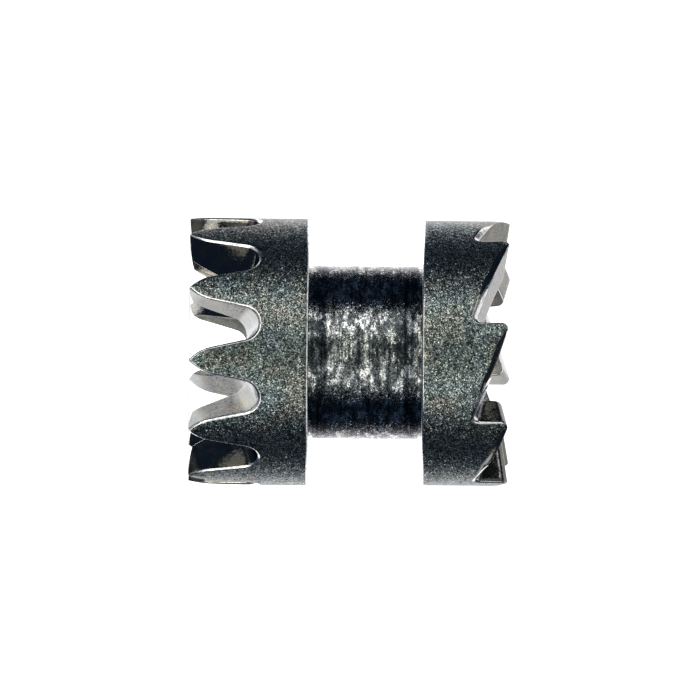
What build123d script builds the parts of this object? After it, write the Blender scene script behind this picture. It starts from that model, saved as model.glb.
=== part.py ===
from build123d import *
import os
from math import acos, cos, radians, sin, tan

# Sliding pinion of a wrist watch's winding work, in millimetres and degrees.
# One piece of steel: two heads joined by a slimmer neck, with a square bore right through.
# It stands on its crown teeth, +Z along the bore. A fork rides in the groove round the neck.

# Turned body
crown_head_diameter = 1.90
crown_head_length = 0.85
neck_diameter = 1.23
groove_width = 0.81
ratchet_head_diameter = 1.885
ratchet_head_length = 0.615
edge_break = 0.012
relief_width = 0.03
relief_depth = 0.015

# Square bore, a sliding fit on the stem
bore_across_flats = 0.70
bore_corner_radius = 0.03
bore_mouth_break = 0.05

# Crown teeth, on the end that it stands on: pointed, with straight flanks and round gap floors
crown_tooth_count = 11
crown_tooth_height = 0.49
crown_flank_angle = 12.6
crown_root_radius = 0.12
crown_point_radius = 0.285
crown_tip_land = 0.012
crown_floor_slope = 11.6
crown_recess_mouth_diameter = 1.48
crown_recess_half_angle = 29.0
crown_first_gap_at = -102.5

# Ratchet teeth, on the other end: a face along the bore, and a ramp down to the next face
ratchet_tooth_count = 8
ratchet_ramp_angle = 18.3
ratchet_valley_radius = 0.035
ratchet_tip_radius = 0.045
ratchet_floor_slope = 6.8
ratchet_recess_mouth_diameter = 1.31
ratchet_recess_half_angle = 8.0
ratchet_recess_depth = 0.26
ratchet_first_face_at = -103.7

# How far a cut runs out past what it cuts
overrun = 0.1

crown_head_radius = crown_head_diameter / 2
ratchet_head_radius = ratchet_head_diameter / 2
neck_radius = neck_diameter / 2
ratchet_shoulder = crown_head_length + groove_width
ratchet_end = ratchet_shoulder + ratchet_head_length

# A ratchet tooth's sharp corner stands a little above its rounded tip
ratchet_pitch = radians(360 / ratchet_tooth_count)
tip_slope = cos(ratchet_pitch) * tan(radians(ratchet_ramp_angle))
tip_slope += sin(ratchet_pitch) * tan(radians(ratchet_floor_slope))
ratchet_corner = ratchet_end + ratchet_tip_radius * ((1 + tip_slope**2) ** 0.5 + tip_slope - 1)


def turned_body():
    """The bar as it leaves the lathe: two heads, the neck and a small relief in each corner."""
    relief_radius = neck_radius - relief_depth
    outline = Polyline(
        (0, 0),
        (crown_head_radius, 0),
        (crown_head_radius, crown_head_length - edge_break),
        (crown_head_radius - edge_break, crown_head_length),
        (relief_radius, crown_head_length),
        (relief_radius, crown_head_length + relief_width),
        (neck_radius, crown_head_length + relief_width),
        (neck_radius, ratchet_shoulder - relief_width),
        (relief_radius, ratchet_shoulder - relief_width),
        (relief_radius, ratchet_shoulder),
        (ratchet_head_radius - edge_break, ratchet_shoulder),
        (ratchet_head_radius, ratchet_shoulder + edge_break),
        (ratchet_head_radius, ratchet_corner),
        (0, ratchet_corner),
        close=True,
    )
    return revolve(Plane.XZ * make_face(outline), Axis.Z)


def tapered_recess(mouth_radius, mouth_z, floor_z, half_angle):
    """A round recess that narrows from its mouth to its floor, and runs out past its mouth."""
    outward = -1 if floor_z > mouth_z else 1
    taper = tan(radians(half_angle))
    outline = Polyline(
        (0, mouth_z + outward * overrun),
        (mouth_radius + overrun * taper, mouth_z + outward * overrun),
        (mouth_radius - abs(floor_z - mouth_z) * taper, floor_z),
        (0, floor_z),
        close=True,
    )
    return revolve(Plane.XZ * make_face(outline), Axis.Z)


def square_bore():
    """The broached square, through the whole length."""
    square = RectangleRounded(bore_across_flats, bore_across_flats, bore_corner_radius)
    return extrude(Pos(0, 0, -overrun) * square, ratchet_corner + 2 * overrun)


def crown_recess():
    """The cone inside the crown teeth, down to where the flats of the bore begin."""
    mouth_radius = crown_recess_mouth_diameter / 2
    depth = (mouth_radius - bore_across_flats / 2) / tan(radians(crown_recess_half_angle))
    return tapered_recess(mouth_radius, 0, depth, crown_recess_half_angle)


def ratchet_recess():
    """The counterbore inside the ratchet teeth, with the edge of the bore broken in its floor."""
    floor_z = ratchet_end - ratchet_recess_depth
    mouth_radius = ratchet_recess_mouth_diameter / 2
    counterbore = tapered_recess(mouth_radius, ratchet_end, floor_z, ratchet_recess_half_angle)
    break_radius = bore_across_flats / 2 + bore_mouth_break
    bore_break = tapered_recess(break_radius, floor_z, floor_z - bore_mouth_break, 45)
    return [counterbore, bore_break]


def radial_cut(profile, reach, slope, rim_radius, angle):
    """Runs a profile out through the rim, along the radius at an angle.

    The profile is drawn as (sideways, up) and has its stated place at the distance reach from
    the axis. A positive slope carries the cut up as it runs out, a negative one down.
    """
    upright = Plane(origin=(0, 0, -reach * tan(radians(slope))), x_dir=(0, 1, 0), z_dir=(1, 0, 0))
    outward = Vector(cos(radians(slope)), 0, sin(radians(slope)))
    length = (rim_radius + overrun) / cos(radians(slope))
    return Rot(0, 0, angle) * extrude(upright * profile, length, dir=outward)


def crown_gaps():
    """The gaps between the crown teeth: a round floor, straight flanks, and flared at the points."""
    half_pitch = radians(180 / crown_tooth_count)
    flank = radians(crown_flank_angle)
    reach = crown_head_radius * cos(half_pitch)
    mouth = crown_head_radius * sin(half_pitch) - crown_tip_land / 2

    # The floor arc's centre, and the arc that rounds a tooth's side, tangent to the flank
    floor_centre = crown_tooth_height - crown_root_radius
    flank_offset = crown_root_radius + floor_centre * sin(flank)
    spread = (mouth * cos(flank) - flank_offset) / crown_point_radius
    point_angle = flank + acos(1 - spread)
    side_centre = mouth + crown_point_radius * cos(point_angle)
    side_height = crown_point_radius * sin(point_angle)

    def on_side(side, turn):
        """A point of the arc that rounds a tooth's side."""
        away = side_centre - crown_point_radius * cos(turn)
        return (side * away, side_height - crown_point_radius * sin(turn))

    def on_floor(side):
        """Where the round floor meets a flank."""
        return (side * crown_root_radius * cos(flank), floor_centre + crown_root_radius * sin(flank))

    halfway = (flank + point_angle) / 2
    profile = make_face([
        Line((mouth, -overrun), (-mouth, -overrun)),
        Line((-mouth, -overrun), on_side(-1, point_angle)),
        ThreePointArc(on_side(-1, point_angle), on_side(-1, halfway), on_side(-1, flank)),
        Line(on_side(-1, flank), on_floor(-1)),
        ThreePointArc(on_floor(-1), (0, crown_tooth_height), on_floor(1)),
        Line(on_floor(1), on_side(1, flank)),
        ThreePointArc(on_side(1, flank), on_side(1, halfway), on_side(1, point_angle)),
        Line(on_side(1, point_angle), (mouth, -overrun)),
    ])
    pitch = 360 / crown_tooth_count
    angles = [crown_first_gap_at + pitch * i for i in range(crown_tooth_count)]
    return [radial_cut(profile, reach, crown_floor_slope, crown_head_radius, angle) for angle in angles]


def ratchet_notches():
    """The saw-tooth notches: a face along the bore, a rounded valley and a ramp up to the next tip."""
    ramp = radians(ratchet_ramp_angle)
    reach = ratchet_head_radius * cos(ratchet_pitch)
    run = ratchet_head_radius * sin(ratchet_pitch)
    ramp_foot = ratchet_corner - run * tan(ramp)
    valley_z = ramp_foot + ratchet_valley_radius * (tan(ramp) + 1 / cos(ramp))
    top = ratchet_corner + overrun
    top_run = (top - ramp_foot) / tan(ramp)

    def on_valley(turn):
        """A point of the valley's arc, turned from the face down towards the ramp."""
        sideways = -ratchet_valley_radius * (1 - cos(turn))
        return (sideways, valley_z - ratchet_valley_radius * sin(turn))

    ramp_turn = radians(90) + ramp
    profile = make_face([
        Line((0, top), on_valley(0)),
        ThreePointArc(on_valley(0), on_valley(ramp_turn / 2), on_valley(ramp_turn)),
        Line(on_valley(ramp_turn), (-top_run, top)),
        Line((-top_run, top), (0, top)),
    ])
    pitch = 360 / ratchet_tooth_count
    angles = [ratchet_first_face_at + pitch * i for i in range(ratchet_tooth_count)]
    slope = -ratchet_floor_slope
    return [radial_cut(profile, reach, slope, ratchet_head_radius, angle) for angle in angles]


def is_ratchet_tip(edge):
    """A tip's crest: it starts at the sharp corner on the rim and runs in, not down the face."""
    starts_high = max(vertex.Z for vertex in edge.vertices()) > ratchet_corner - overrun / 100
    runs_in = abs(edge.tangent_at(0).Z) < cos(ratchet_pitch)
    return edge.geom_type == GeomType.LINE and starts_high and runs_in


pinion = turned_body()
for cut in [crown_recess(), square_bore(), *ratchet_recess(), *crown_gaps(), *ratchet_notches()]:
    pinion = pinion - cut
pinion = fillet([edge for edge in pinion.edges() if is_ratchet_tip(edge)], ratchet_tip_radius)

os.makedirs("parts", exist_ok=True)
export_step(pinion, "parts/sliding_pinion.step")
print("volume", round(pinion.volume, 4), "length", round(pinion.bounding_box().size.Z, 4))
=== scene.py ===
# %% [markdown]
# # A watch sliding pinion
#
# The piece is one turned and milled scrap of steel, under two millimetres across. It has two
# heads, a slim neck between them and a square hole right through. The crown teeth, on the end
# that it stands on, turn the setting wheel. The saw teeth on the other end drive the winding
# pinion one way and slip over it the other way.
#
# The construction model fixes every size. It comes in coarse, because its facets were chosen for
# a checking tool, so this lesson builds the same form again with fine faces and broken edges,
# and then gives each kind of cut its own finish.

# %% Load the construction model as the frame
from math import acos, cos, pi, radians, sin, sqrt, tan

import bmesh
import bpy
import numpy as np
from mathutils import Matrix, Vector


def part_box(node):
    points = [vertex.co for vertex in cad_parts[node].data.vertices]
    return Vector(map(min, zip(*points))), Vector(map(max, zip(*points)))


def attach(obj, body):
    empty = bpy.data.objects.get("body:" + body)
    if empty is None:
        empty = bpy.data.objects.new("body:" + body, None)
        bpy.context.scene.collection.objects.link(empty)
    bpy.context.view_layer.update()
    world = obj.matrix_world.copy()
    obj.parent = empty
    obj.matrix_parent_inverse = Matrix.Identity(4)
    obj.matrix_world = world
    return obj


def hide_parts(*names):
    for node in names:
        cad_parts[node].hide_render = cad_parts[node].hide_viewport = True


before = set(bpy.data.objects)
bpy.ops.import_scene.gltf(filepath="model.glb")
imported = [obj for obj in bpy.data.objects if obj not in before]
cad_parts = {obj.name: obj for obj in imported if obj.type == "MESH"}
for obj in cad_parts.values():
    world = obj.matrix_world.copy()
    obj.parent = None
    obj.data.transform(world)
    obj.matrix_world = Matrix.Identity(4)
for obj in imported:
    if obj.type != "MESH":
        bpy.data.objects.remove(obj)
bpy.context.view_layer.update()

low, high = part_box("sliding_pinion")
print("frame box in mm", [round(1000 * (high[i] - low[i]), 4) for i in range(3)])

# %% [markdown]
# ## The sizes
#
# Only the overall height and the width of the crown head can be read from the frame's box. The
# rest are the maker's own sizes, written once here. The part stands upright, so `z` runs along
# the bore, and every angle is counted round it.

# %% The sizes, in metres and radians
MM = 0.001

crown_radius = high.x
pinion_height = high.z
ratchet_radius = 0.9425 * MM
neck_radius = 0.615 * MM
crown_shoulder = 0.85 * MM
ratchet_shoulder = 1.66 * MM
relief_width = 0.03 * MM
relief_depth = 0.015 * MM
bore_half_width = 0.35 * MM
bore_corner_radius = 0.03 * MM

columns = 352
column_angle = 2 * pi / columns
print("columns round the piece:", columns, "of", round(1000 * crown_radius * column_angle, 4), "mm")

# %% [markdown]
# ## The camera
#
# The photograph looks straight at the side of the piece, from far away, with the bore lying
# across the picture. A camera without perspective is the honest match for a view through a
# long lens. It is rolled so that the bore runs from left to right, and it looks down by a third
# of a degree, which is why the far teeth peep out past the near ones at the right.

# %% Place the camera
def placed(name, data):
    """A new object in the scene."""
    made = bpy.data.objects.new(name, data)
    bpy.context.scene.collection.objects.link(made)
    return made


PICTURE = 700
HEAD_PIXELS = 267
STANDING_END_PIXEL = 189.3
AXIS_PIXELS_BELOW_MIDDLE = 2.45
LOOK_DOWN = radians(0.3)
ROLL = radians(0.5)
CAMERA_DISTANCE = 0.05

pixel = 2 * crown_radius / HEAD_PIXELS
forward = Vector((0, cos(LOOK_DOWN), -sin(LOOK_DOWN)))
level_right = Vector((0, sin(LOOK_DOWN), cos(LOOK_DOWN)))
level_up = level_right.cross(forward)
right = cos(ROLL) * level_right + sin(ROLL) * level_up
up = -sin(ROLL) * level_right + cos(ROLL) * level_up
middle_height = (PICTURE / 2 - STANDING_END_PIXEL) * pixel
target = Vector((0, 0, middle_height)) + up * AXIS_PIXELS_BELOW_MIDDLE * pixel

camera_data = bpy.data.cameras.new("camera")
camera_data.type = "ORTHO"
camera_data.ortho_scale = PICTURE * pixel
camera_data.clip_start = 0.001
camera_data.clip_end = 1.0
camera = placed("camera", camera_data)
turn = Matrix((right, up, -forward)).transposed().to_4x4()
camera.matrix_world = Matrix.Translation(target - forward * CAMERA_DISTANCE) @ turn
bpy.context.scene.camera = camera
print("one pixel is", round(1e6 * pixel, 3), "micrometres")

# %% [markdown]
# ## Helpers for a mesh made of rows
#
# Every surface here is a grid: rows of points, each row as long as the last. A grid of points
# is easy to work out with arrays and easy to check, and it turns into clean four-sided faces.
# Each band between two rows carries a number, its zone, which says how that surface was
# finished: blasted, broken edge, milled, recess, turned face or turned neck. A row and the zone
# of the faces above it are kept together until the mesh is made.

# %% Turn a grid of points into a mesh
BLASTED, BROKEN_EDGE, MILLED, RECESS, FACED, TURNED = range(6)


def grid_mesh(name, grid, zones, closed):
    """A mesh from grid[row][column] points. zones has one number for each band between rows."""
    grid = np.asarray(grid)
    rows, across = grid.shape[:2]
    starts = np.arange(across if closed else across - 1)
    ends = (starts + 1) % across
    faces = []
    for row in range(rows - 1):
        base, above = row * across, (row + 1) * across
        faces += np.stack([base + starts, base + ends, above + ends, above + starts], 1).tolist()
    mesh = bpy.data.meshes.new(name)
    mesh.from_pydata(grid.reshape(-1, 3).tolist(), [], faces)
    zone = mesh.attributes.new("zone", "INT", "FACE")
    zone.data.foreach_set("value", np.repeat(np.array(zones, np.int32), len(starts)))
    print(name, "rows", rows, "columns", across, "faces", len(mesh.polygons))
    return mesh


# %% Rows in bands
def swept(radius, height, angle):
    """Points at a radius, a height and an angle round the axis. Each may be one number or many."""
    return np.stack([radius * np.cos(angle), radius * np.sin(angle), height + 0 * angle], -1)


def between(start, end, share):
    return start + share * (end - start)


def marked(zone, *rows):
    """Each row with the zone of the faces above it."""
    return [(row, zone) for row in rows]


def broken_edge(near, corner, far):
    """A broken edge: where it starts, and two rows that lead on, nearly straight, to its far side."""
    first = 0.76 * near + 0.16 * corner + 0.08 * far
    second = 0.08 * near + 0.16 * corner + 0.76 * far
    return marked(BROKEN_EDGE, near, first, second)


def band(zone, count, row_at, to_end=False):
    """Rows at equal shares from 0 to 1. The 1 itself is left to the next band, or it is the end."""
    shares = np.linspace(0, 1, count + 1)
    return marked(zone, *[row_at(share) for share in (shares if to_end else shares[:-1])])


def split(pairs):
    """A grid and its zones. The last row has no faces above it, so it needs no zone."""
    rows, zones = zip(*pairs)
    return np.array(rows), zones[:-1]


# %% [markdown]
# ## One crown gap
#
# A round-nosed cutter makes each gap: a round floor, two straight flanks that lean out, and
# flanks that curve over to a point. The cut rises towards the rim, so the outline is pushed
# along a sloping line. One gap, from the middle of one tooth to the middle of the next, is all
# that has to be drawn. A subtraction of solids would give the same form, but its faces would
# meet in long slivers, and the edges could not be broken evenly.
#
# First comes the outline of half a gap, as a function of the distance along it.

# %% Outline of half a crown gap
crown_teeth = 11
crown_first_gap = radians(-102.5)
crown_half_pitch = pi / crown_teeth
gap_depth = 0.49 * MM
gap_root_radius = 0.12 * MM
gap_flank = radians(12.6)
gap_rise = tan(radians(11.6))
tooth_side_radius = 0.285 * MM
tooth_land = 0.012 * MM
ARC_POINTS = 60
gap_reach = crown_radius * cos(crown_half_pitch)


def crown_outline():
    """Sideways and up, from the middle of the gap to the middle of the tooth, in fine steps."""
    mouth = crown_radius * sin(crown_half_pitch) - tooth_land / 2
    floor_centre = gap_depth - gap_root_radius
    flank_offset = gap_root_radius + floor_centre * sin(gap_flank)
    point_angle = gap_flank + acos(1 - (mouth * cos(gap_flank) - flank_offset) / tooth_side_radius)
    side_centre = mouth + tooth_side_radius * cos(point_angle)
    side_height = tooth_side_radius * sin(point_angle)
    floor_turns = np.linspace(pi / 2, gap_flank, ARC_POINTS)
    side_turns = np.linspace(gap_flank, point_angle, ARC_POINTS)
    floor_arc = np.stack([np.cos(floor_turns), np.sin(floor_turns)], 1) * gap_root_radius
    floor_arc[:, 1] += floor_centre
    side_arc = np.stack([-np.cos(side_turns), -np.sin(side_turns)], 1) * tooth_side_radius
    side_arc += (side_centre, side_height)
    land = np.array([[crown_radius * sin(crown_half_pitch), 0.0]])
    return np.concatenate([floor_arc, side_arc, land])


outline = crown_outline()
steps = np.linalg.norm(np.diff(outline, axis=0), axis=1)
travel = np.concatenate([[0.0], np.cumsum(steps)])
floor_end, flank_end = travel[ARC_POINTS - 1], travel[ARC_POINTS]
side_end, tooth_middle = travel[-2], travel[-1]
crown_columns = np.concatenate([
    np.linspace(0, floor_end, 7),
    np.linspace(floor_end, flank_end, 5)[1:],
    np.linspace(flank_end, side_end, 6)[1:],
    [tooth_middle],
])
print("outline of half a gap:", round(1000 * tooth_middle, 3), "mm in", len(crown_columns) - 1, "steps")

# %% [markdown]
# The gap meets two turned surfaces: the rim, which is a cylinder, and the cone inside the
# teeth. Each column of the grid starts on the rim and runs in along the floor or flank until
# it meets the cone. The last column has to follow the crest between two gaps, so the columns
# draw together a little on their way in.

# %% Where the columns of the crown gap run
recess_mouth_radius = 0.74 * MM
recess_half_angle = radians(29)
recess_taper = tan(recess_half_angle)
SETTLING_ROUNDS = 40


def gap_side(distance):
    return np.interp(distance, travel, outline[:, 0])


def gap_height(distance, out):
    """Height of the cut at a distance along the outline, and that far out along the gap."""
    return np.maximum(np.interp(distance, travel, outline[:, 1]) + gap_rise * (out - gap_reach), 0)


def crest_distance(radius):
    """How far along the outline the crest lies, at a radius."""
    return np.interp(radius * sin(crown_half_pitch), outline[:, 0], travel)


def crest_inner_radius():
    """Where the crest between two gaps meets the cone."""
    radius = recess_mouth_radius
    for _ in range(SETTLING_ROUNDS):
        height = gap_height(crest_distance(radius), radius * cos(crown_half_pitch))
        radius = recess_mouth_radius - recess_taper * height
    return float(radius)


crest_inner = crest_inner_radius()
rim_out = np.sqrt(crown_radius**2 - gap_side(crown_columns) ** 2)
shrink_inner = crest_distance(crest_inner) / tooth_middle
cone_out = np.full(len(crown_columns), crest_inner)
for _ in range(SETTLING_ROUNDS):
    side = gap_side(crown_columns * shrink_inner)
    height = gap_height(crown_columns * shrink_inner, cone_out)
    cone_out = np.sqrt((recess_mouth_radius - recess_taper * height) ** 2 - side**2)


def gap_point(share):
    """Points of the cut for each column, at a share of the way from the rim to the cone."""
    radius = crown_radius + share * (crest_inner - crown_radius)
    distance = crown_columns * crest_distance(radius) / tooth_middle
    out = rim_out + share * (cone_out - rim_out)
    points = np.stack([out, gap_side(distance), gap_height(distance, out)], 1)
    points[-1, 2] = points[-2, 2]
    return points


print("crest meets the cone at radius", round(1000 * crest_inner, 3), "mm,",
      "the gap floor at", round(1000 * cone_out[0], 3), "mm")

# %% [markdown]
# Every edge of a part this size is broken by tumbling or brushing. Light catches the break as
# a thin bright line, and without it the part looks like a drawing. The break is widest in the
# round of the gap, and it narrows towards the points. A helper moves a curve sideways on a
# turned surface, into the metal, to find the far side of the break.

# %% Break an edge on a turned surface
def into_metal(points, radius_at, slant, widths, metal_side, flat_ends):
    """Moves a curve on a cylinder or cone by the widths, square to itself, into the metal.

    radius_at gives the surface's radius at a height, and slant the share of a step along the
    surface that goes to height. metal_side is 1 where the metal is on the left of the curve.
    """
    angle = np.arctan2(points[:, 1], points[:, 0])
    radius = np.hypot(points[:, 0], points[:, 1])
    across = np.gradient(angle) * radius
    rise = np.gradient(points[:, 2]) / slant
    if flat_ends:
        across[[0, -1]], rise[[0, -1]] = 1.0, 0.0
    length = np.hypot(across, rise)
    angle = angle - metal_side * widths * rise / length / radius
    height = points[:, 2] + metal_side * widths * across / length * slant
    return on_turned(radius_at, height, angle)


def on_turned(radius_at, height, angle):
    return swept(radius_at(height), height, angle)


def angles_of(points):
    return np.arctan2(points[:, 1], points[:, 0])


# %% The grid of one crown gap
root_break = 0.018 * MM
point_break = 0.012 * MM
inner_break = 0.009 * MM
inner_point_break = 0.002 * MM
crown_wall_start = 0.64 * MM
crown_wall_level = 0.545 * MM
crown_cone_level = 0.426 * MM
crown_cone_end = 0.452 * MM


def crown_rim(height):
    return crown_radius


def crown_cone(height):
    return recess_mouth_radius - recess_taper * height


def crown_rows():
    """Rows of half a gap, from the rim's wall, over the cut and down the cone, with their zones."""
    travelled = crown_columns / tooth_middle
    widths = between(root_break, point_break, travelled)
    inner_widths = between(inner_break, inner_point_break, travelled)
    depth_in = rim_out - cone_out
    first, last = widths / depth_in, 1 - inner_widths / depth_in

    rim_corner, cone_corner = gap_point(0.0), gap_point(1.0)
    rim_far = into_metal(rim_corner, crown_rim, 1.0, widths, 1, True)
    cone_far = into_metal(cone_corner, crown_cone, cos(recess_half_angle), inner_widths, 1, True)
    even = np.arange(len(crown_columns)) * column_angle
    rim_angles, cone_angles = angles_of(rim_far), angles_of(cone_far)

    rows = band(BLASTED, 3, lambda share: on_turned(
        crown_rim, between(crown_wall_start, crown_wall_level, share), between(even, rim_angles, share)))
    rows += band(BLASTED, 7, lambda share: on_turned(
        crown_rim, between(crown_wall_level, rim_far[:, 2], share), rim_angles))
    rows += broken_edge(rim_far, rim_corner, gap_point(first))
    rows += band(MILLED, 14, lambda share: gap_point(between(first, last, share)))
    rows += broken_edge(gap_point(last), cone_corner, cone_far)
    rows += band(RECESS, 6, lambda share: on_turned(
        crown_cone, between(cone_far[:, 2], crown_cone_level, share), cone_angles))
    rows += band(RECESS, 3, lambda share: on_turned(
        crown_cone, between(crown_cone_level, crown_cone_end, share), between(cone_angles, even, share)),
        to_end=True)
    return split(rows)


half_rows, crown_zones = crown_rows()
other_half = half_rows[:, :0:-1] * (1, -1, 1)
crown_gap = grid_mesh("crown_gap", np.concatenate([other_half, half_rows], 1), crown_zones, False)

# %% [markdown]
# ## One ratchet notch
#
# The saw teeth are cut in notches with one steep side, which lies in a plane through the axis,
# a small round at the bottom, and a long ramp up to the next tip. The tips are slightly
# rounded. The grid of one notch runs from the tip of one tooth, down its ramp, through the
# valley and up the face of the next.

# %% Outline of one ratchet notch
ratchet_teeth = 8
ratchet_first_face = radians(-103.7)
ratchet_pitch = 2 * pi / ratchet_teeth
ramp = radians(18.3)
valley_radius = 0.035 * MM
tip_radius = 0.045 * MM
notch_fall = tan(radians(6.8))
counterbore_radius = 0.655 * MM
counterbore_half_angle = radians(8)
counterbore_taper = tan(counterbore_half_angle)
counterbore_floor = pinion_height - 0.26 * MM

ramp_across = (tan(ramp) + notch_fall) * sin(ratchet_pitch)
ramp_out = (tan(ramp) - notch_fall) * cos(ratchet_pitch)
ramp_length = sqrt(1 + ramp_across**2)
sharp_corner = pinion_height + tip_radius * (ramp_length + ramp_across - 1)
notch_reach = ratchet_radius * cos(ratchet_pitch)
tip_turn = np.arctan(ramp_across)
tip_drop = tip_radius * (ramp_across + ramp_length)
ramp_foot = sharp_corner - ratchet_radius * sin(ratchet_pitch) * tan(ramp)
valley_height = ramp_foot + valley_radius * (tan(ramp) + 1 / cos(ramp))
print("saw teeth are", round(1000 * (pinion_height - valley_height + valley_radius), 3), "mm deep")

# %% [markdown]
# Each column of the notch is a straight line when seen from above, from the rim in to the
# counterbore. Near a tip the lines run alongside that tooth's face, near the valley alongside
# the next one, and over the ramp they turn evenly from one to the other.

# %% The columns of the ratchet notch
TIP_STEPS, RAMP_STEPS, VALLEY_STEPS, FACE_STEPS = 6, 22, 8, 8


def ramp_height(x, y):
    return sharp_corner - ramp_out * (ratchet_radius - x) - ramp_across * y


def notch_points(radius):
    """One point for each column, at a radius that may differ from column to column."""
    points = []
    for step in range(TIP_STEPS + 1):
        turned = -pi / 2 + (pi / 2 + tip_turn) * step / TIP_STEPS
        r = radius[len(points)]
        y = tip_radius * (1 + sin(turned))
        x = sqrt(r**2 - y**2)
        points.append((x, y, ramp_height(x, 0) - tip_drop + tip_radius * cos(turned)))
    tip_y = tip_radius * (1 + sin(tip_turn))
    valley_back = valley_radius * (1 + sin(ramp))
    for step in range(1, RAMP_STEPS):
        r = radius[len(points)]
        from_tip = np.arcsin(tip_y / r)
        to_valley = ratchet_pitch - np.arcsin(valley_back / r)
        angle = between(from_tip, to_valley, step / RAMP_STEPS)
        x, y = r * cos(angle), r * sin(angle)
        points.append((x, y, ramp_height(x, y)))
    for step in range(VALLEY_STEPS + 1):
        turned = (pi / 2 + ramp) * (1 - step / VALLEY_STEPS)
        r = radius[len(points)]
        back = valley_radius * (1 - cos(turned))
        out = sqrt(r**2 - back**2)
        height = valley_height - valley_radius * sin(turned) - notch_fall * (out - notch_reach)
        angle = ratchet_pitch - np.arcsin(back / r)
        points.append((r * cos(angle), r * sin(angle), height))
    for step in range(1, FACE_STEPS + 1):
        r = radius[len(points)]
        bottom = valley_height - notch_fall * (r - notch_reach)
        height = between(bottom, ramp_height(r, 0) - tip_drop, step / FACE_STEPS)
        points.append((r * cos(ratchet_pitch), r * sin(ratchet_pitch), height))
    return np.array(points)


notch_columns = TIP_STEPS + RAMP_STEPS + VALLEY_STEPS + FACE_STEPS + 1


def ratchet_rim(height):
    return ratchet_radius


def counterbore(height):
    return counterbore_radius - counterbore_taper * (pinion_height - height)


notch_inner = np.full(notch_columns, counterbore_radius)
for _ in range(SETTLING_ROUNDS):
    notch_inner = counterbore(notch_points(notch_inner)[:, 2])
print("notch columns", notch_columns, "inner radii from", round(1000 * notch_inner.min(), 3),
      "to", round(1000 * notch_inner.max(), 3), "mm")

# %% [markdown]
# The cutter that made the ramps also rolled the edge of the rim over a little. In the
# photograph that is a narrow dark strip along each ramp, with a bright line under it. The strip
# leans back from the rim by the angle `roll`. It is widest over the ramp and dies out at the tip
# and in the valley. It is 0.015 mm deep at most, too fine for the construction model, so it
# belongs to this mesh.

# %% The grid of one ratchet notch
tip_break = 0.006 * MM
face_break = 0.010 * MM
valley_break = 0.028 * MM
notch_inner_break = 0.006 * MM
rolled_width = 0.036 * MM
CRISP = 0.8
roll = tan(radians(23))
ratchet_wall_end = 1.95 * MM


def notch_rows():
    """Rows from the rim's wall, over the notch and down to the counterbore's floor.

    A row at the share CRISP of the rolled margin keeps the line where it starts narrow.
    """
    place = np.arange(notch_columns)
    valley_start = TIP_STEPS + RAMP_STEPS
    widths = np.interp(place, [0, valley_start - 12, valley_start - 5, valley_start + 2,
                               valley_start + VALLEY_STEPS - 1, notch_columns - 1],
                       [tip_break, tip_break, valley_break, valley_break, face_break, tip_break])

    rim_corner = notch_points(np.full(notch_columns, ratchet_radius))
    inner_corner = notch_points(notch_inner)
    rim_radii, inner_radii = ratchet_radius - widths, notch_inner + notch_inner_break
    rim_near, inner_near = notch_points(rim_radii), notch_points(inner_radii)
    rolled = rolled_width * np.interp(place, [0, TIP_STEPS, TIP_STEPS + 4, valley_start - 9,
                                              valley_start - 5, valley_start, notch_columns - 1],
                                      [0.1, 0.3, 1.0, 1.0, 0.5, 0.3, 0.1])
    lean = np.interp(place, [valley_start - 9, valley_start - 4, valley_start, notch_columns - 1],
                     [roll, 0.3 * roll, 0.3 * roll, roll])

    def margin(share):
        """The row at a share of the rolled margin, from the broken edge outwards."""
        row = wrap_edge(rim_corner, ratchet_rim, 1.0, widths + share * rolled)
        row[:, :2] *= (1 - (1 - share) * rolled * lean / ratchet_radius)[:, None]
        return row

    rim_start, rim_turn, rim_far = margin(1.0), margin(CRISP), margin(0.0)
    inner_far = wrap_edge(inner_corner, counterbore, cos(counterbore_half_angle),
                          np.full(notch_columns, notch_inner_break))
    even = (place + FACE_STEPS) * column_angle

    rows = band(BLASTED, 8, lambda share: on_turned(
        ratchet_rim, between(ratchet_wall_end, rim_start[:, 2], share),
        between(even, angles_of(rim_start), share)))
    rows += marked(MILLED, rim_start, rim_turn)
    rows += broken_edge(rim_far, rim_corner, rim_near)
    rows += band(MILLED, 10, lambda share: notch_points(between(rim_radii, inner_radii, share)))
    rows += broken_edge(inner_near, inner_corner, inner_far)
    rows += band(RECESS, 6, lambda share: on_turned(
        counterbore, between(inner_far[:, 2], counterbore_floor, share),
        between(angles_of(inner_far), even, share)), to_end=True)
    return split(rows)


def wrap_edge(points, radius_at, slant, widths):
    """into_metal for a notch, whose ends are the same column one pitch apart."""
    back = Matrix.Rotation(-ratchet_pitch, 3, "Z")
    before = np.array(points[-2]) @ np.array(back).T
    after = np.array(points[1]) @ np.array(back)
    joined = np.concatenate([[before], points, [after]])
    padded = np.concatenate([widths[:1], widths, widths[-1:]])
    return into_metal(joined, radius_at, slant, padded, -1, False)[1:-1]


ratchet_grid, notch_zones = notch_rows()
ratchet_notch = grid_mesh("ratchet_notch", ratchet_grid, notch_zones, False)

# %% [markdown]
# ## A ring of teeth by nodes
#
# The teeth repeat round the bore, so a node tree repeats them. It puts one copy of the drawn
# gap on each of a set of points, turned by a whole number of pitches, makes the copies real,
# and welds them where they meet. The same tree serves both rings, with another count and
# another first angle. A loop in the script could do it too, but here a change of the tooth
# count is one input of the tree.

# %% Materials are made empty first, and get their nodes further down
finishes = [bpy.data.materials.new(name) for name in (
    "blasted_steel", "worn_edge", "milled_steel", "recess_steel", "faced_steel", "turned_steel")]
for finish in finishes:
    finish.use_nodes = True
print("finishes:", [finish.name for finish in finishes])


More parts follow.
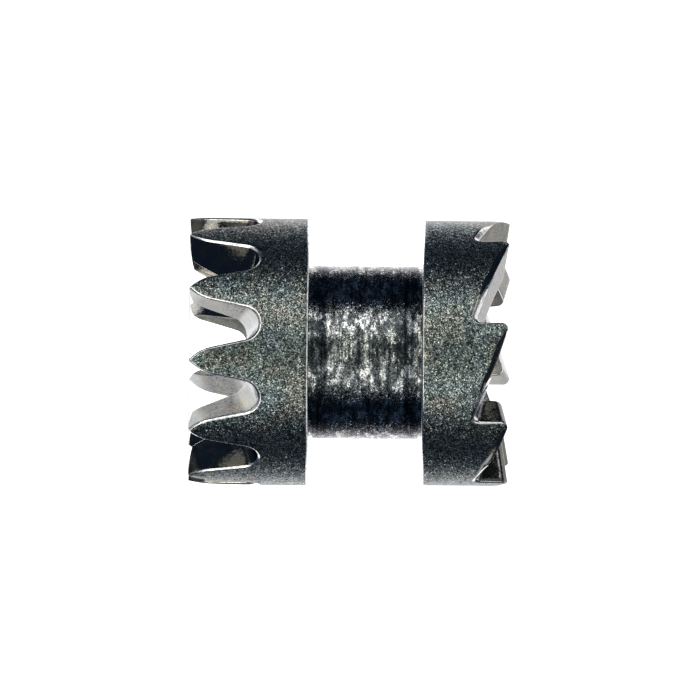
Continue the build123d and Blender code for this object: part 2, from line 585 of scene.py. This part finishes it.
# %% Nodes in one line
def feed(tree, node, given):
    """Sets inputs, by name or number: each gets a link from another output, or a plain value."""
    for name, value in given.items():
        if isinstance(value, bpy.types.NodeSocket):
            tree.links.new(value, node.inputs[name])
        else:
            node.inputs[name].default_value = value


def add(tree, kind, given=None, **settings):
    node = tree.nodes.new(kind)
    for name, value in settings.items():
        setattr(node, name, value)
    feed(tree, node, given or {})
    return node


def arithmetic(tree, operation, *values):
    return add(tree, "ShaderNodeMath", dict(enumerate(values)), operation=operation).outputs[0]


def vector(tree, operation, *values):
    return add(tree, "ShaderNodeVectorMath", dict(enumerate(values)), operation=operation).outputs[0]


# %% Build the tree that repeats a gap round the bore
def ring_tree():
    tree = bpy.data.node_groups.new("ring_of_teeth", "GeometryNodeTree")
    wanted = [
        ("Gap", "Geometry"), ("Teeth", "Int"), ("First angle", "Float"), ("Weld distance", "Float")]
    wanted += [(finish.name, "Material") for finish in finishes[:RECESS + 1]]
    for name, kind in wanted:
        tree.interface.new_socket(name, in_out="INPUT", socket_type="NodeSocket" + kind)
    tree.interface.new_socket("Ring", in_out="OUTPUT", socket_type="NodeSocketGeometry")
    given = add(tree, "NodeGroupInput").outputs

    points = add(tree, "GeometryNodePoints", {"Count": given["Teeth"]})
    pitch = arithmetic(tree, "DIVIDE", 2 * pi, given["Teeth"])
    index = add(tree, "GeometryNodeInputIndex").outputs["Index"]
    angle = arithmetic(tree, "MULTIPLY_ADD", index, pitch, given["First angle"])
    turn = add(tree, "ShaderNodeCombineXYZ", {"Z": angle})
    rotation = add(tree, "FunctionNodeEulerToRotation", {0: turn.outputs[0]})
    copies = add(tree, "GeometryNodeInstanceOnPoints", {
        "Points": points.outputs[0], "Instance": given["Gap"], "Rotation": rotation.outputs[0]})
    real = add(tree, "GeometryNodeRealizeInstances", {0: copies.outputs[0]})
    weld = add(tree, "GeometryNodeMergeByDistance", {
        "Geometry": real.outputs[0], "Distance": given["Weld distance"]})

    zone = add(tree, "GeometryNodeInputNamedAttribute", {"Name": "zone"}, data_type="INT")
    last = weld.outputs[0]
    for number, finish in enumerate(finishes[:RECESS + 1]):
        same = add(tree, "FunctionNodeCompare", {2: zone.outputs["Attribute"], 3: number},
                   data_type="INT", operation="EQUAL")
        wear = add(tree, "GeometryNodeSetMaterial", {
            "Geometry": last, "Selection": same.outputs[0], "Material": given[finish.name]})
        last = wear.outputs[0]
    add(tree, "NodeGroupOutput", {"Ring": last})
    return tree


ring_of_teeth = ring_tree()
print("tree", ring_of_teeth.name, "has", len(ring_of_teeth.nodes), "nodes")

# %% Run the tree once for each ring
WELD = 5e-8


def applied(piece):
    """A plain mesh with what the modifiers of a piece have made of it."""
    return bpy.data.meshes.new_from_object(piece.evaluated_get(bpy.context.evaluated_depsgraph_get()))


def run_ring(gap_mesh, teeth, first_angle):
    """The whole ring as a plain mesh, with the modifier's inputs set by their identifiers."""
    piece = placed(gap_mesh.name, gap_mesh)
    modifier = piece.modifiers.new("ring", "NODES")
    modifier.node_group = ring_of_teeth
    values = {"Teeth": teeth, "First angle": first_angle, "Weld distance": WELD}
    values |= {finish.name: finish for finish in finishes[:RECESS + 1]}
    for socket in ring_of_teeth.interface.items_tree:
        if socket.in_out == "INPUT" and socket.name in values:
            modifier[socket.identifier] = values[socket.name]
    ring = applied(piece)
    bpy.data.objects.remove(piece)
    print(gap_mesh.name, "x", teeth, "gives", len(ring.vertices), "points", len(ring.polygons), "faces")
    return ring


crown_ring = run_ring(crown_gap, crown_teeth, crown_first_gap)
ratchet_ring = run_ring(ratchet_notch, ratchet_teeth, ratchet_first_face)

# %% [markdown]
# ## The turned body
#
# Between the two rings the piece is what the lathe left: the rest of each head, their inner
# faces, and the neck with a small relief in each corner. A profile swept round the axis is the
# right tool for turned work. The rows on the neck are close together, because the real neck is
# not smooth: the tool left fine rings of uneven depth, and they break its reflection up.

# %% Profile of the outside, from the crown ring up to the ratchet ring
shoulder_break = 0.014 * MM
ring_depth = 0.0016 * MM
DRIFT_POINTS = 19
FINE_SHARE = 0.45
draws = np.random.default_rng(7)


def neck_rings(count):
    """Uneven tool rings: a slow drift and a fine one, in metres of depth."""
    drift = draws.normal(0, 1, DRIFT_POINTS)
    coarse = np.interp(np.arange(count), np.linspace(0, count, DRIFT_POINTS), drift)
    fine = draws.normal(0, FINE_SHARE, count)
    return ring_depth * (coarse + fine)


def line(start, end, count, zone):
    """A straight part of the profile, in count steps."""
    return band(zone, count, lambda share: (1 - share) * np.array(start) + share * np.array(end))


def outside_profile():
    """Radius and height of each row, with its zone."""
    relief = neck_radius - relief_depth
    low_neck, high_neck = crown_shoulder + relief_width, ratchet_shoulder - relief_width
    low_wall, low_corner, low_face = np.array([
        (crown_radius, crown_shoulder - shoulder_break), (crown_radius, crown_shoulder),
        (crown_radius - shoulder_break, crown_shoulder)])
    high_face, high_corner, high_wall = np.array([
        (ratchet_radius - shoulder_break, ratchet_shoulder), (ratchet_radius, ratchet_shoulder),
        (ratchet_radius, ratchet_shoulder + shoulder_break)])
    wall_end = np.array((ratchet_radius, ratchet_wall_end))

    rows = line((crown_radius, crown_wall_start), low_wall, 5, BLASTED)
    rows += broken_edge(low_wall, low_corner, low_face)
    rows += line(low_face, (relief, crown_shoulder), 10, FACED)
    rows += line((relief, crown_shoulder), (relief, low_neck), 2, TURNED)
    rows += line((relief, low_neck), (neck_radius, low_neck), 2, TURNED)
    rows += line((neck_radius, low_neck), (neck_radius, high_neck), 90, TURNED)
    rows += line((neck_radius, high_neck), (relief, high_neck), 2, TURNED)
    rows += line((relief, high_neck), (relief, ratchet_shoulder), 2, TURNED)
    rows += line((relief, ratchet_shoulder), high_face, 10, FACED)
    rows += broken_edge(high_face, high_corner, high_wall)
    rows += line(high_wall, wall_end, 6, BLASTED)
    return split(rows + marked(BLASTED, wall_end))


profile, outside_zones = outside_profile()
radii, heights = profile.T
on_neck = np.isclose(radii, neck_radius)
radii[on_neck] += neck_rings(on_neck.sum())
print("rows on the neck:", on_neck.sum(), "ring depth up to",
      round(1e6 * np.abs(radii[on_neck] - neck_radius).max(), 2), "micrometres")

# %% [markdown]
# The two rings of teeth do not start at the same angle, and neither do their columns. The
# columns of the body turn by the small difference on their way up, so that both ends meet
# their ring point for point.

# %% Sweep the outside round the axis
seam = crown_first_gap
ratchet_seam = ratchet_first_face + round((seam - ratchet_first_face) / column_angle) * column_angle
column = np.arange(columns) * column_angle

climb = (heights - heights[0]) / (heights[-1] - heights[0])
start = seam + climb * (ratchet_seam - seam)
angle = start[:, None] + column[None, :]
outside = grid_mesh("outside", swept(radii[:, None], heights[:, None], angle), outside_zones, True)
print("columns turn by", round(1000 * (ratchet_seam - seam), 3), "milliradians on the way up")

# %% [markdown]
# ## The bore
#
# A broach leaves a square hole with slightly rounded corners. Inside the crown teeth it opens
# into the cone, so its edge there dips at the corners. At the ratchet end it comes out in the
# flat floor of the counterbore, with its edge broken at 45 degrees. Along each column of the
# grid, the square is a radius that depends on the angle.

# %% The square as a radius round the axis
floor_break_radius = 0.40 * MM
least_break = 0.004 * MM


def square_radius(angle):
    """Distance from the axis to the wall of the square, at an angle."""
    turned = np.abs((angle + pi / 4) % (pi / 2) - pi / 4)
    flat = bore_half_width / np.cos(turned)
    centre = (bore_half_width - bore_corner_radius) * sqrt(2)
    from_corner = pi / 4 - turned
    under = bore_corner_radius**2 - (centre * np.sin(from_corner)) ** 2
    corner = centre * np.cos(from_corner) + np.sqrt(np.maximum(under, 0))
    in_corner = bore_half_width * np.tan(turned) > bore_half_width - bore_corner_radius
    return np.where(in_corner, corner, flat)


def bore_grid():
    """Rows from the crown cone, through the bore and out over the counterbore's floor."""
    low_angle, high_angle = seam + column, ratchet_seam + column
    low_radius, high_radius = square_radius(low_angle), square_radius(high_angle)
    low_edge = (recess_mouth_radius - low_radius) / recess_taper
    break_depth = np.maximum(floor_break_radius - high_radius, least_break)
    high_edge = counterbore_floor - break_depth
    floor_start = high_radius + break_depth
    floor_end = counterbore(counterbore_floor)

    def wall(share):
        angle = between(low_angle, high_angle, share)
        return swept(square_radius(angle), between(low_edge, high_edge, share), angle)

    rows = band(RECESS, 8, lambda share: on_turned(
        crown_cone, between(crown_cone_end, low_edge, share), low_angle))
    rows += band(MILLED, 12, wall)
    rows += marked(BROKEN_EDGE, swept(high_radius, high_edge, high_angle))
    rows += band(RECESS, 5, lambda share: swept(
        between(floor_start, floor_end, share), counterbore_floor, high_angle), to_end=True)
    return split(rows)


bore_points, bore_zones = bore_grid()
inside = grid_mesh("inside", bore_points, bore_zones, True)

# %% [markdown]
# ## One closed piece
#
# The four meshes share the points of their last rows, so they weld into one closed skin. A
# closed skin has exactly two faces at each edge, and a volume that can be compared with the
# solid's own. Normals are weighted by face area, so the large faces stay flat to the eye and
# only the broken edges look round.

# %% Weld the four meshes
def gather(meshes):
    """One bmesh from several meshes, with material numbers that follow the list of finishes."""
    whole = bmesh.new()
    for mesh in meshes:
        numbers = np.zeros(len(mesh.polygons), np.int32)
        if mesh.materials:
            order = [finishes.index(material) if material else 0 for material in mesh.materials]
            mesh.polygons.foreach_get("material_index", numbers)
            numbers = np.array(order, np.int32)[numbers]
        else:
            mesh.attributes["zone"].data.foreach_get("value", numbers)
        mesh.materials.clear()
        mesh.polygons.foreach_set("material_index", numbers)
        whole.from_mesh(mesh)
    bmesh.ops.remove_doubles(whole, verts=whole.verts, dist=2 * WELD)
    bmesh.ops.recalc_face_normals(whole, faces=whole.faces)
    return whole


whole = gather([crown_ring, ratchet_ring, outside, inside])
open_edges = sum(1 for edge in whole.edges if not edge.is_manifold)
volume = whole.calc_volume(signed=True)
skin = bpy.data.meshes.new("sliding_pinion_fine")
whole.to_mesh(skin)
whole.free()
for finish in finishes:
    skin.materials.append(finish)

cad_copy = bmesh.new()
cad_copy.from_mesh(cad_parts["sliding_pinion"].data)
bmesh.ops.remove_doubles(cad_copy, verts=cad_copy.verts, dist=WELD)
cad_volume = cad_copy.calc_volume()
cad_copy.free()
print("edges without two faces:", open_edges, "volume", round(1e9 * volume, 4),
      "mm3, of the solid", round(1e9 * cad_volume, 4))

# %% Weight the normals and keep the real corners
SHARP = radians(40)
skin.polygons.foreach_set("use_smooth", [True] * len(skin.polygons))
skin.set_sharp_from_angle(angle=SHARP)
pinion = placed("sliding_pinion_fine", skin)
weighted = pinion.modifiers.new("weighted", "WEIGHTED_NORMAL")
weighted.mode = "FACE_AREA"
weighted.keep_sharp = True
pinion.data = applied(pinion)
pinion.modifiers.clear()
pinion.data.name = pinion.name
print("faces", len(pinion.data.polygons), "triangles", 2 * len(pinion.data.polygons))

# %% [markdown]
# ## The finishes
#
# At this size steel is never plain. The heads were blasted to a fine matt grain: under the
# lens each grain is a tiny facet with its own brightness and its own tilt, so the surface
# sparkles, and a pattern of cells gives both. The tooth flanks are milled and smoother, with
# faint cutter marks, and the recesses inside the teeth are duller. The neck shows turning
# rings, worn patches and a darker band near each head, and the broken edges are almost bright.
#
# All patterns run in the object's own coordinates, scaled to millimetres. The grain is done by
# bump and by tilted normals, because its real depth is a micrometre or so, far below what the
# mesh can hold.

# %% Helpers for a finish
def noise(tree, place, scale, detail=2.0, roughness=0.5, stretch=(1, 1, 1)):
    """Noise with its grain in cycles a millimetre, stretched along the axes."""
    mapping = add(tree, "ShaderNodeMapping", {"Scale": [s / MM for s in stretch], "Vector": place})
    return add(tree, "ShaderNodeTexNoise", {
        "Scale": scale, "Detail": detail, "Roughness": roughness,
        "Vector": mapping.outputs[0]}).outputs["Fac"]


def ramp_of(tree, value, stops):
    """A colour for each value, from a list of position and colour."""
    made = add(tree, "ShaderNodeValToRGB", {"Fac": value})
    while len(made.color_ramp.elements) < len(stops):
        made.color_ramp.elements.new(0.5)
    for element, (position, colour) in zip(made.color_ramp.elements, stops):
        element.position = position
        element.color = (*colour, 1)
    return made.outputs["Color"]


def spread(tree, value, low, high, to_low, to_high):
    """The range from low to high, carried over to the range from to_low to to_high and held there."""
    return add(tree, "ShaderNodeMapRange", {
        "Value": value, "From Min": low, "From Max": high,
        "To Min": to_low, "To Max": to_high}).outputs["Result"]


def mix(tree, share, back, front, blend="MIX"):
    """The front colour laid over the back one, by a share from 0 to 1."""
    return add(tree, "ShaderNodeMix", {"Factor": share, "A": back, "B": front},
               data_type="RGBA", blend_type=blend).outputs["Result"]


def multiply(tree, first, second):
    return mix(tree, 1.0, first, second, "MULTIPLY")


def bump(tree, height, depth, under=None):
    given = {"Strength": 1.0, "Distance": depth, "Height": height}
    if under:
        given["Normal"] = under
    return add(tree, "ShaderNodeBump", given).outputs["Normal"]


def steel(finish):
    """An all-metal shader in an emptied tree, with the object's coordinates."""
    tree = finish.node_tree
    tree.nodes.clear()
    shader = add(tree, "ShaderNodeBsdfPrincipled", {"Metallic": 1.0})
    add(tree, "ShaderNodeOutputMaterial", {"Surface": shader.outputs[0]})
    return tree, shader, add(tree, "ShaderNodeTexCoord").outputs["Object"]


# %% A grain whose every cell has its own brightness and its own tilt
def cells(tree, place, scale):
    """A random colour for each cell, with the cells in cycles a millimetre."""
    return add(tree, "ShaderNodeTexVoronoi", {"Scale": scale / MM, "Vector": place}).outputs["Color"]


def brightness_of(tree, colour):
    """A random number for each cell that does not follow its tilt."""
    return add(tree, "ShaderNodeTexWhiteNoise", {"Vector": colour}).outputs["Value"]


def tilted(tree, colour, amount, under):
    """The normal under it, turned a little in each cell. Most cells turn little, a few a lot."""
    offset = vector(tree, "SUBTRACT", colour, (0.5, 0.5, 0.5))
    squared = vector(tree, "MULTIPLY", offset, vector(tree, "ABSOLUTE", offset))
    turned = vector(tree, "MULTIPLY", squared, (4 * amount, 4 * amount, 4 * amount))
    return vector(tree, "NORMALIZE", vector(tree, "ADD", under, turned))


# %% Blasted steel, for the outside of the heads
def blasted_steel(finish):
    tree, shader, place = steel(finish)
    grains = cells(tree, place, 135)
    clumps = noise(tree, place, 24, detail=3, roughness=0.6)
    clouds = noise(tree, place, 5, detail=2)
    tint = ramp_of(tree, clouds, [
        (0.32, (0.64, 0.76, 0.80)), (0.50, (0.70, 0.80, 0.76)), (0.68, (0.82, 0.80, 0.72))])
    bright = ramp_of(tree, brightness_of(tree, grains), [
        (0.0, (0.02, 0.02, 0.03)), (0.30, (0.11, 0.12, 0.12)), (0.55, (0.26, 0.27, 0.26)),
        (0.78, (0.52, 0.53, 0.51)), (1.0, (1.0, 0.98, 0.92))])
    patches = ramp_of(tree, clumps, [(0.36, (0.48, 0.49, 0.51)), (0.58, (1.0, 1.0, 1.0))])
    colour = multiply(tree, multiply(tree, tint, bright), patches)
    feed(tree, shader, {
        "Base Color": colour,
        "Roughness": 0.33,
        "Normal": tilted(tree, grains, 0.22, bump(tree, clumps, 2.5e-6))})


blasted_steel(finishes[BLASTED])
print("blasted steel uses", len(finishes[BLASTED].node_tree.nodes), "nodes")


# %% Milled steel, for the tooth flanks and the bore, and a duller one for the recesses
def milled_steel(finish, shade, edge, metallic, low_rough, high_rough):
    """shade is how bright the metal is when seen from the front, and edge at a glancing angle."""
    tree, shader, place = steel(finish)
    grains = cells(tree, place, 110)
    clouds = noise(tree, place, 9, detail=3)
    marks = noise(tree, place, 26, detail=2, stretch=(1, 1, 0.4))
    tint = ramp_of(tree, clouds, [
        (0.36, (0.46, 0.47, 0.46)), (0.52, (0.56, 0.56, 0.51)), (0.66, (0.68, 0.62, 0.49))])
    dim = 0.76 * shade
    bright = ramp_of(tree, brightness_of(tree, grains), [
        (0.0, (dim, dim, dim)), (1.0, (shade, shade, shade))])
    feed(tree, shader, {
        "Base Color": multiply(tree, tint, bright),
        "Metallic": metallic,
        "Specular Tint": (edge, edge, edge, 1),
        "Roughness": spread(tree, clouds, 0.35, 0.65, low_rough, high_rough),
        "Normal": tilted(tree, grains, 0.05, bump(tree, marks, 0.9e-6))})


milled_steel(finishes[MILLED], 0.42, 0.78, 1.0, 0.10, 0.18)
milled_steel(finishes[RECESS], 0.95, 1.0, 0.84, 0.30, 0.42)


# %% Turned steel, for the neck, and faced steel, for the inner faces of the heads
def turned_steel(finish):
    tree, shader, place = steel(finish)
    grains = cells(tree, place, 120)
    rings = noise(tree, place, 30, detail=2, stretch=(0.08, 0.08, 1))
    patches = noise(tree, place, 15, detail=6, roughness=0.80, stretch=(0.6, 0.6, 1))
    bright = ramp_of(tree, brightness_of(tree, grains), [
        (0.0, (0.14, 0.15, 0.16)), (0.5, (0.60, 0.60, 0.58)), (0.8, (1.0, 1.0, 0.97))])
    worn = ramp_of(tree, patches, [(0.45, (0.13, 0.15, 0.16)), (0.51, (0.26, 0.27, 0.27)),
                                   (0.56, (1.0, 1.0, 0.98))])
    lines = ramp_of(tree, rings, [(0.40, (0.40, 0.41, 0.43)), (0.50, (1.0, 1.0, 1.0))])
    colour = multiply(tree, multiply(tree, bright, worn), lines)
    colour = multiply(tree, colour, darker_neck_bands(tree, place))
    surface = bump(tree, rings, 1.6e-6, bump(tree, patches, 3.5e-6))
    feed(tree, shader, {
        "Base Color": colour,
        "Roughness": spread(tree, patches, 0.42, 0.56, 0.20, 0.08),
        "Normal": tilted(tree, grains, 0.12, surface)})


def darker_neck_bands(tree, place):
    """Two bands round the neck, a little way from each head, where its colour is made darker."""
    height = add(tree, "ShaderNodeSeparateXYZ", {0: place}).outputs["Z"]
    along = spread(tree, height, crown_shoulder, ratchet_shoulder, 0, 1)
    darker, full = (0.34, 0.36, 0.40), (1.0, 1.0, 1.0)
    return ramp_of(tree, along, [(0.05, full), (0.08, darker), (0.14, darker), (0.17, full),
                                 (0.82, full), (0.85, darker), (0.92, darker), (0.95, full)])


turned_steel(finishes[TURNED])
turned_steel(finishes[FACED])


# %% Burnished steel, for every broken edge
def worn_edge(finish):
    tree, shader, place = steel(finish)
    wear = noise(tree, place, 34, detail=2)
    tint = ramp_of(tree, wear, [(0.36, (0.55, 0.55, 0.56)), (0.52, (0.98, 0.97, 0.94))])
    feed(tree, shader, {
        "Base Color": tint,
        "Roughness": spread(tree, wear, 0.3, 0.7, 0.30, 0.16),
        "Normal": bump(tree, wear, 1.0e-6)})


worn_edge(finishes[BROKEN_EDGE])
print("finishes made:", len(finishes))

# %% [markdown]
# ## Floor and light
#
# Metal has no colour of its own to show: it shows what stands round it. The photograph has a
# white ground behind the piece, a soft light on each side of the camera, and darkness between.
# That is why the limbs are pale, why the heads turn nearly black next to them, and why two soft
# bands run along the heads and the neck.
#
# The floor glows a little, so that it stays pale right up to the piece. It casts no shadow, or
# it would hide the lower half of each soft light, and it is not mirrored, because the tent
# further down has a card of its own below.

# %% Floor
FLOOR_RADIUS = 0.12


def plain(name, colour, roughness, glow):
    made = bpy.data.materials.new(name)
    made.use_nodes = True
    feed(made.node_tree, made.node_tree.nodes["Principled BSDF"], {
        "Base Color": (*colour, 1), "Roughness": roughness,
        "Emission Color": (*colour, 1), "Emission Strength": glow})
    return made


floor_mesh = bpy.data.meshes.new("floor")
corners = [(-1, -1), (1, -1), (1, 1), (-1, 1)]
floor_mesh.from_pydata([(x * FLOOR_RADIUS, y * FLOOR_RADIUS, 0) for x, y in corners], [], [(0, 1, 2, 3)])
floor_mesh.materials.append(plain("pale_floor", (0.9, 0.9, 0.88), 0.6, 0.6))
floor = placed("floor", floor_mesh)
floor.visible_glossy = False
floor.visible_shadow = False
print("floor is", 2 * FLOOR_RADIUS, "m wide")


# %% Lights
PANEL_DISTANCE = 0.12
PANEL_WIDTH, PANEL_HEIGHT = 0.052, 0.15
PANEL_DROP = 0.035


def panel(name, angle, brightness):
    """A soft panel that faces the piece, at an angle round it from the camera's side.

    Its brightness is 1 for paper white. Its middle lies below the middle of the piece.
    """
    data = bpy.data.lights.new(name, "AREA")
    data.shape = "RECTANGLE"
    data.size, data.size_y = PANEL_WIDTH, PANEL_HEIGHT
    data.energy = brightness * pi * PANEL_WIDTH * PANEL_HEIGHT
    light = placed(name, data)
    away = Vector((sin(angle), -cos(angle), 0)).normalized()
    place = Matrix.Translation(Vector((0, 0, pinion_height / 2 - PANEL_DROP)) + away * PANEL_DISTANCE)
    light.matrix_world = place @ away.to_track_quat("Z", "Y").to_matrix().to_4x4()
    light.visible_camera = False


panel("left_softbox", radians(-40.5), 1.75)
panel("right_softbox", radians(36), 1.46)

# %% [markdown]
# The room round the piece is a small light tent with its front open. It is cheaper and smoother
# as a sky that depends on the direction than as more panels. The room itself is a cool near
# black. Five things hang in it: a weak fill round the camera, a warm card in front and lower
# down, a card below on one side, a top, and a screen behind. The screen reaches further round
# above and below than at its middle, and it is brighter there, which is what the sloping floors
# of the gaps and the ramps of the saw teeth reflect. It also reaches a little further round on
# one side, because the photograph has one limb paler than the other. The camera and the
# scattered light see plain white instead, so the ground of the picture stays clean.

# %% Helper for the tent
def all_of(tree, made, *others):
    """The product of shares from 0 to 1: it is 1 only where every one of them is."""
    for share in others:
        made = arithmetic(tree, "MULTIPLY", made, share)
    return made


# %% The tent round the piece
ROOM_COLOUR = (0.020, 0.036, 0.066)
FRONT_COLOUR = (0.27, 0.30, 0.295)
SCREEN_COLOUR = (1.42, 1.40, 1.45)
LOW_CARD_COLOUR = (2.40, 2.42, 2.50)
HIGH_CARD_COLOUR = (1.28, 1.28, 1.32)
END_COLOUR = (0.85, 0.85, 0.85)
LEFT_COLOUR = (2.20, 2.12, 1.94)
UNDER_COLOUR = (0.62, 0.61, 0.57)
GROUND_BRIGHTNESS = 1.6

world = bpy.data.worlds.new("tent")
world.use_nodes = True
tree = world.node_tree
tree.nodes.clear()
direction = add(tree, "ShaderNodeSeparateXYZ", {0: add(tree, "ShaderNodeTexCoord").outputs["Generated"]})
across, away, up = (direction.outputs[name] for name in ("X", "Y", "Z"))

in_front = all_of(tree, spread(tree, away, -0.66, -0.84, 0, 1), spread(tree, up, 0.46, 0.34, 0, 1))
to_the_left = all_of(tree, spread(tree, away, -0.66, -0.78, 0, 1), spread(tree, up, -0.26, -0.38, 0, 1),
                     spread(tree, up, -0.72, -0.60, 0, 1))
below = all_of(tree, spread(tree, up, -0.74, -0.84, 0, 1), spread(tree, across, 0.55, -0.45, 0, 1),
               spread(tree, away, 0.0, -0.25, 0, 1))
overhead = spread(tree, up, 0.72, 0.84, 0, 1)
off_middle = arithmetic(tree, "ABSOLUTE", up)
reach = arithmetic(tree, "ADD", away, spread(tree, off_middle, 0.06, 0.26, 0, 0.24))
reach = arithmetic(tree, "ADD", reach, spread(tree, across, 0.62, 0.72, 0, 0.07))
behind = all_of(tree, spread(tree, reach, 0.74, 0.84, 0, 1), spread(tree, up, -0.92, -0.80, 0, 1))
screen = ramp_of(tree, spread(tree, up, -1, 1, 0, 1), [
    (0.33, LOW_CARD_COLOUR), (0.40, SCREEN_COLOUR), (0.56, SCREEN_COLOUR), (0.68, HIGH_CARD_COLOUR),
    (0.76, HIGH_CARD_COLOUR), (0.82, END_COLOUR)])

seen = mix(tree, in_front, (*ROOM_COLOUR, 1), (*FRONT_COLOUR, 1))
seen = mix(tree, to_the_left, seen, (*LEFT_COLOUR, 1))
seen = mix(tree, below, seen, (*UNDER_COLOUR, 1))
seen = mix(tree, overhead, seen, (*END_COLOUR, 1))
seen = mix(tree, behind, seen, screen)
room = add(tree, "ShaderNodeBackground", {"Color": seen})
ground = add(tree, "ShaderNodeBackground", {"Color": (1, 1, 1, 1), "Strength": GROUND_BRIGHTNESS})
print("things that hang in the tent", len([node for node in tree.nodes if node.type == "MIX"]))

# %% What the camera and the scattered light see
path = add(tree, "ShaderNodeLightPath").outputs
plain_white = arithmetic(tree, "MAXIMUM", path["Is Camera Ray"], path["Is Diffuse Ray"])
choose = add(tree, "ShaderNodeMixShader", {0: plain_white, 1: room.outputs[0], 2: ground.outputs[0]})
add(tree, "ShaderNodeOutputWorld", {"Surface": choose.outputs[0]})
bpy.context.scene.world = world
bpy.context.scene.view_settings.view_transform = "Standard"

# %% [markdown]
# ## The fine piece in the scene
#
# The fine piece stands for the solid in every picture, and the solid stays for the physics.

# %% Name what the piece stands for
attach(pinion, "root")
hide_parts("sliding_pinion")
